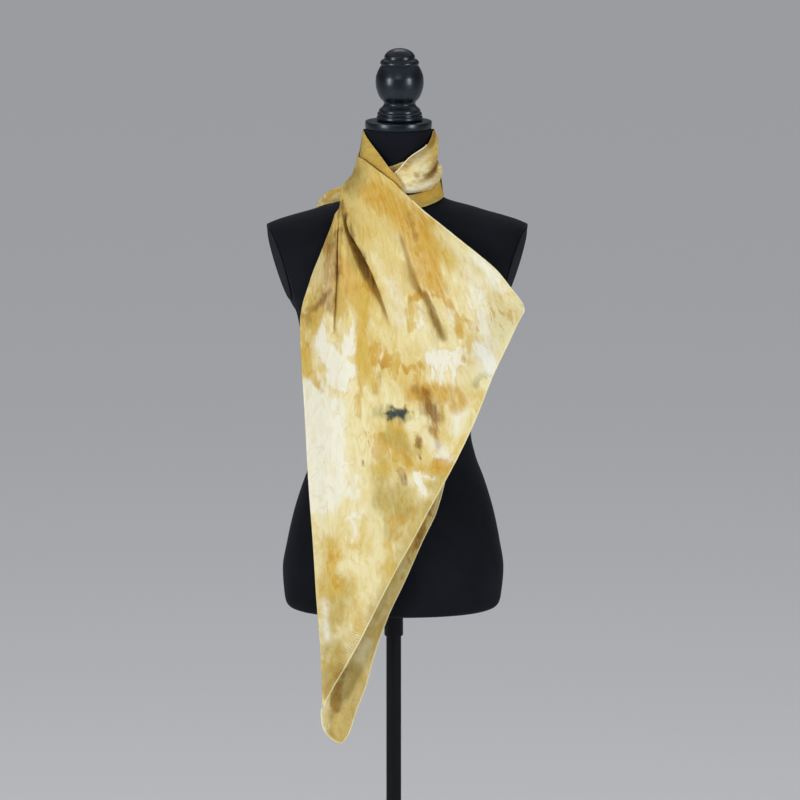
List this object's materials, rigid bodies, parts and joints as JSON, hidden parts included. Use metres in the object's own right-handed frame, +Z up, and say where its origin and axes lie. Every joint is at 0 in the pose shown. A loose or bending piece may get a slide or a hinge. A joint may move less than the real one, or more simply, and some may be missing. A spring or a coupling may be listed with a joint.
{
  "type": "silk square scarf on a limbless dress form with a pole stand",
  "caption": "Hand-dyed silk square scarf worn on the bias round the neck of a black velvet dress form, one corner hanging long down the front, on a pole stand.",
  "frame": {"origin": "centre of the underside of the stand's round base, on the pole's axis and on the floor", "axes": "+Z up along the pole; -Y towards the front of the form, where the scarf's long corner hangs; +X to the right as seen from the front"},
  "size_m": [0.3828, 0.34, 1.6271],
  "materials": {
    "velvet": "short black velvet pile",
    "plate": "short black velvet pile over board",
    "paint": "satin black paint on turned wood",
    "steel": "satin black powder coat",
    "silk": "golden and cream mottled dyed silk satin with a soft sheen"
  },
  "bodies": {
    "root": {"form_torso": "velvet", "arm_plate_left": "plate", "arm_plate_right": "plate", "neck_cap": "paint", "finial": "paint", "pole_socket": "steel", "pole": "steel", "stand_base": "steel", "scarf_front_panel": "silk", "scarf_back_layer": "silk", "scarf_neck_band_left": "silk", "scarf_neck_band_right": "silk", "scarf_neck_band_lower": "silk", "scarf_inner_fold": "silk", "scarf_neck_wrap_back": "silk", "scarf_tail_end": "silk"}
  },
  "joints": []
}
